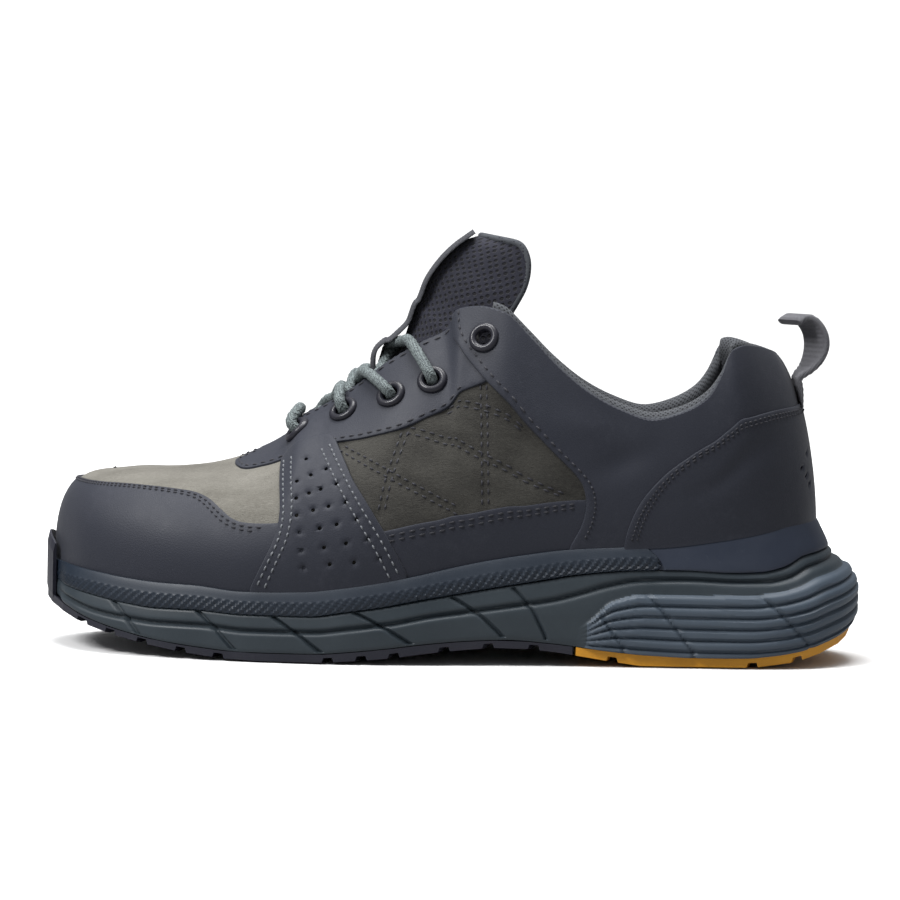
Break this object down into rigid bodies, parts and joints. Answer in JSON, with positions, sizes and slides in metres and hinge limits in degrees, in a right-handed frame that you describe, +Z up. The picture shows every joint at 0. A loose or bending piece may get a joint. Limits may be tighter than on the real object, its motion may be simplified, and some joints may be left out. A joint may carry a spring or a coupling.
{
  "type": "safety sneaker",
  "caption": "Low safety sneaker with a rubber toe guard and rand, laced throat with round eyelets, padded collar, heel pull loop and lugged sole.",
  "frame": {"origin": "on the ground under the middle of the bounding box", "axes": "toe toward -X, heel toward +X, outer side toward -Y, inner side toward +Y, up is +Z"},
  "size_m": [0.3073, 0.1097, 0.1588],
  "materials": {
    "outsole_rubber": "matt moulded rubber",
    "heel_rubber": "matt moulded rubber",
    "midsole_foam": "matt moulded foam",
    "rand_rubber": "satin ribbed rubber",
    "cradle_rubber": "satin moulded rubber",
    "insole_cloth": "flat woven cloth",
    "upper_leather": "matt grained leather with suede vamp and quarter",
    "tongue_mesh": "padded perforated mesh",
    "webbing_dark": "woven webbing",
    "collar_mesh": "padded knitted mesh",
    "loop_webbing": "ribbed woven webbing",
    "lace_braid": "round braid",
    "eyelet_black": "glossy lacquer"
  },
  "bodies": {
    "root": {"outsole": "outsole_rubber", "heel_outsole": "heel_rubber", "midsole": "midsole_foam", "rand": "rand_rubber", "heel_cradle": "cradle_rubber", "insole": "insole_cloth", "upper": "upper_leather", "tongue": "tongue_mesh", "tongue_strip": "webbing_dark", "collar_lining": "collar_mesh", "pull_loop": "loop_webbing", "lace_bar": "lace_braid", "lace_crossing_1": "lace_braid", "lace_crossing_2": "lace_braid", "lace_crossing_3": "lace_braid", "eyelet_lateral_1": "eyelet_black", "eyelet_lateral_2": "eyelet_black", "eyelet_lateral_3": "eyelet_black", "eyelet_lateral_4": "eyelet_black", "eyelet_lateral_5": "eyelet_black", "eyelet_medial_1": "eyelet_black", "eyelet_medial_2": "eyelet_black", "eyelet_medial_3": "eyelet_black", "eyelet_medial_4": "eyelet_black", "eyelet_medial_5": "eyelet_black"}
  },
  "joints": []
}
